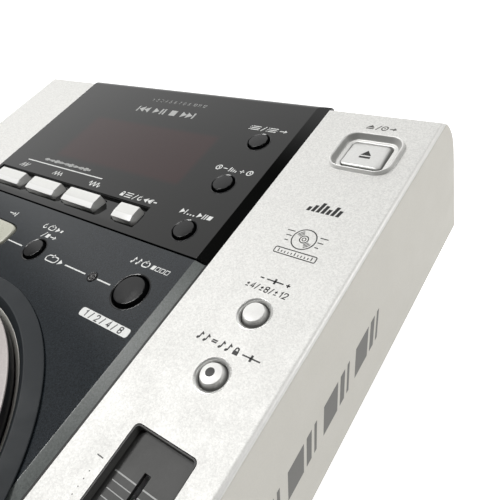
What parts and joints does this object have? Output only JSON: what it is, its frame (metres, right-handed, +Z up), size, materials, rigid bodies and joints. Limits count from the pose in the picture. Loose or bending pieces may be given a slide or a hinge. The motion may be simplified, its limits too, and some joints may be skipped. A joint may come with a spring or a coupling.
{
  "type": "tabletop disc player",
  "caption": "Compact tabletop disc player for mixing, with a jog dial, dark display window, keys, a tempo slider and a front-loading disc slot.",
  "frame": {"origin": "centre of the base on the table", "axes": "+X right, +Y towards the rear sockets, +Z up"},
  "size_m": [0.218, 0.2964, 0.108],
  "materials": {
    "silver_shell": "satin",
    "dark_case": "matt",
    "window": "gloss",
    "fleck_panel": "satin",
    "bezel_grey": "satin",
    "trim_silver": "satin",
    "black_plastic": "satin",
    "dial_face": "satin",
    "steel": "brushed",
    "bronze": "satin",
    "white_key": "satin",
    "cream_key": "satin",
    "silver_key": "gloss",
    "grey_key": "satin",
    "tray_grey": "matt",
    "lamp_red": "gloss",
    "rubber_black": "matt",
    "felt_black": "matt",
    "board_green": "satin",
    "display_grey": "gloss",
    "nylon_white": "satin"
  },
  "bodies": {
    "base": {"top_case": "silver_shell", "lower_case": "dark_case", "rear_panel": "dark_case", "display_window": "window", "jog_panel": "fleck_panel", "jog_bezel": "bezel_grey", "jog_trim_ring": "trim_silver", "jog_bush": "bronze", "slider_tray": "tray_grey", "slider_track": "steel", "slot_bezel": "black_plastic", "slot_felt": "felt_black", "feet": "rubber_black", "case_screws": "steel", "loop_lamp": "lamp_red", "control_board": "board_green", "display_module": "display_grey", "main_board": "board_green", "power_supply": "board_green", "mech_chassis": "steel", "mech_dampers": "rubber_black", "loading_motor": "steel", "spindle_motor": "steel", "guide_rods": "steel", "sled_motor": "steel", "rear_sockets": "black_plastic"},
    "jog": {"jog_dial": "black_plastic", "jog_plate": "dial_face", "jog_spindle": "steel", "jog_encoder_disc": "steel"},
    "slider": {"slider_knob": "black_plastic"},
    "roller": {"loading_roller": "rubber_black", "roller_axle": "steel", "roller_gear": "nylon_white"},
    "pinion": {"motor_pinion": "bronze"},
    "spindle": {"turntable": "black_plastic"},
    "clamp": {"clamp_disc": "nylon_white"},
    "sled": {"laser_sled": "black_plastic"},
    "screw": {"lead_screw": "steel"},
    "rocker": {"power_rocker": "black_plastic"},
    "eject_key": {"eject_key": "silver_key"},
    "effect_key_left": {"effect_key_left": "white_key"},
    "effect_key_middle": {"effect_key_middle": "white_key"},
    "effect_key_right": {"effect_key_right": "white_key"},
    "hold_key": {"hold_key": "white_key"},
    "display_key_rear": {"display_key_rear": "black_plastic"},
    "display_key_middle": {"display_key_middle": "black_plastic"},
    "display_key_front": {"display_key_front": "black_plastic"},
    "loop_in_key": {"loop_in_key": "cream_key"},
    "loop_out_key": {"loop_out_key": "cream_key"},
    "reloop_key": {"reloop_key": "black_plastic"},
    "beat_loop_key": {"beat_loop_key": "black_plastic"},
    "tempo_range_key": {"tempo_range_key": "silver_key"},
    "tempo_lock_key": {"tempo_lock_key": "silver_key"},
    "play_key": {"play_key": "silver_key"},
    "cue_key": {"cue_key": "silver_key"},
    "track_back_key": {"track_back_key": "grey_key"},
    "track_next_key": {"track_next_key": "grey_key"},
    "search_back_key": {"search_back_key": "grey_key"},
    "search_next_key": {"search_next_key": "grey_key"}
  },
  "joints": [
    {"name": "jog_spin", "type": "hinge", "parent": "base", "child": "jog", "pos_m": [-0.0025, -0.0432, 0.0855], "axis": [0, 0, 1], "continuous": true},
    {"name": "tempo_slide", "type": "slide", "parent": "base", "child": "slider", "axis": [0, 1, 0], "range_m": [-0.03, 0.03]},
    {"name": "eject_key_press", "type": "slide", "parent": "base", "child": "eject_key", "axis": [0, 0, -1], "range_m": [0, 0.0008], "stiffness_N_per_m": 400, "springref_m": -0.0015},
    {"name": "effect_key_left_press", "type": "slide", "parent": "base", "child": "effect_key_left", "axis": [0, 0, -1], "range_m": [0, 0.0008], "stiffness_N_per_m": 400, "springref_m": -0.0015},
    {"name": "effect_key_middle_press", "type": "slide", "parent": "base", "child": "effect_key_middle", "axis": [0, 0, -1], "range_m": [0, 0.0008], "stiffness_N_per_m": 400, "springref_m": -0.0015},
    {"name": "effect_key_right_press", "type": "slide", "parent": "base", "child": "effect_key_right", "axis": [0, 0, -1], "range_m": [0, 0.0008], "stiffness_N_per_m": 400, "springref_m": -0.0015},
    {"name": "hold_key_press", "type": "slide", "parent": "base", "child": "hold_key", "axis": [0, 0, -1], "range_m": [0, 0.0008], "stiffness_N_per_m": 400, "springref_m": -0.0015},
    {"name": "display_key_rear_press", "type": "slide", "parent": "base", "child": "display_key_rear", "axis": [0, 0, -1], "range_m": [0, 0.0008], "stiffness_N_per_m": 400, "springref_m": -0.0015},
    {"name": "display_key_middle_press", "type": "slide", "parent": "base", "child": "display_key_middle", "axis": [0, 0, -1], "range_m": [0, 0.0008], "stiffness_N_per_m": 400, "springref_m": -0.0015},
    {"name": "display_key_front_press", "type": "slide", "parent": "base", "child": "display_key_front", "axis": [0, 0, -1], "range_m": [0, 0.0008], "stiffness_N_per_m": 400, "springref_m": -0.0015},
    {"name": "loop_in_key_press", "type": "slide", "parent": "base", "child": "loop_in_key", "axis": [0, 0, -1], "range_m": [0, 0.0008], "stiffness_N_per_m": 400, "springref_m": -0.0015},
    {"name": "loop_out_key_press", "type": "slide", "parent": "base", "child": "loop_out_key", "axis": [0, 0, -1], "range_m": [0, 0.0008], "stiffness_N_per_m": 400, "springref_m": -0.0015},
    {"name": "reloop_key_press", "type": "slide", "parent": "base", "child": "reloop_key", "axis": [0, 0, -1], "range_m": [0, 0.0008], "stiffness_N_per_m": 400, "springref_m": -0.0015},
    {"name": "beat_loop_key_press", "type": "slide", "parent": "base", "child": "beat_loop_key", "axis": [0, 0, -1], "range_m": [0, 0.0008], "stiffness_N_per_m": 400, "springref_m": -0.0015},
    {"name": "tempo_range_key_press", "type": "slide", "parent": "base", "child": "tempo_range_key", "axis": [0, 0, -1], "range_m": [0, 0.0008], "stiffness_N_per_m": 400, "springref_m": -0.0015},
    {"name": "tempo_lock_key_press", "type": "slide", "parent": "base", "child": "tempo_lock_key", "axis": [0, 0, -1], "range_m": [0, 0.0008], "stiffness_N_per_m": 400, "springref_m": -0.0015},
    {"name": "play_key_press", "type": "slide", "parent": "base", "child": "play_key", "axis": [0, 0, -1], "range_m": [0, 0.0008], "stiffness_N_per_m": 400, "springref_m": -0.0015},
    {"name": "cue_key_press", "type": "slide", "parent": "base", "child": "cue_key", "axis": [0, 0, -1], "range_m": [0, 0.0008], "stiffness_N_per_m": 400, "springref_m": -0.0015},
    {"name": "track_back_key_press", "type": "slide", "parent": "base", "child": "track_back_key", "axis": [0, 0, -1], "range_m": [0, 0.0008], "stiffness_N_per_m": 400, "springref_m": -0.0015},
    {"name": "track_next_key_press", "type": "slide", "parent": "base", "child": "track_next_key", "axis": [0, 0, -1], "range_m": [0, 0.0008], "stiffness_N_per_m": 400, "springref_m": -0.0015},
    {"name": "search_back_key_press", "type": "slide", "parent": "base", "child": "search_back_key", "axis": [0, 0, -1], "range_m": [0, 0.0008], "stiffness_N_per_m": 400, "springref_m": -0.0015},
    {"name": "search_next_key_press", "type": "slide", "parent": "base", "child": "search_next_key", "axis": [0, 0, -1], "range_m": [0, 0.0008], "stiffness_N_per_m": 400, "springref_m": -0.0015},
    {"name": "roller_spin", "type": "hinge", "parent": "base", "child": "roller", "pos_m": [0, -0.122, 0.0537], "axis": [1, 0, 0], "continuous": true},
    {"name": "pinion_spin", "type": "hinge", "parent": "base", "child": "pinion", "pos_m": [0.0744, -0.11675, 0.06279], "axis": [1, 0, 0], "continuous": true},
    {"name": "turntable_spin", "type": "hinge", "parent": "base", "child": "spindle", "pos_m": [0, -0.062, 0.05], "axis": [0, 0, 1], "continuous": true},
    {"name": "clamp_lower", "type": "slide", "parent": "base", "child": "clamp", "axis": [0, 0, -1], "range_m": [0, 0.0031], "stiffness_N_per_m": 150, "springref_m": -0.003},
    {"name": "sled_slide", "type": "slide", "parent": "base", "child": "sled", "axis": [0, 1, 0], "range_m": [0, 0.034]},
    {"name": "screw_spin", "type": "hinge", "parent": "base", "child": "screw", "pos_m": [0.027, 0, 0.054], "axis": [0, 1, 0], "range_deg": [0, 3601]},
    {"name": "power_tilt", "type": "hinge", "parent": "base", "child": "rocker", "pos_m": [-0.082, 0.139, 0.065], "axis": [1, 0, 0], "range_deg": [-12, 0]}
  ],
  "couplings": [
    {"joint": "pinion_spin", "follows": "roller_spin", "ratio": -2.5},
    {"joint": "screw_spin", "follows": "sled_slide", "rad_per_m": 1848}
  ]
}
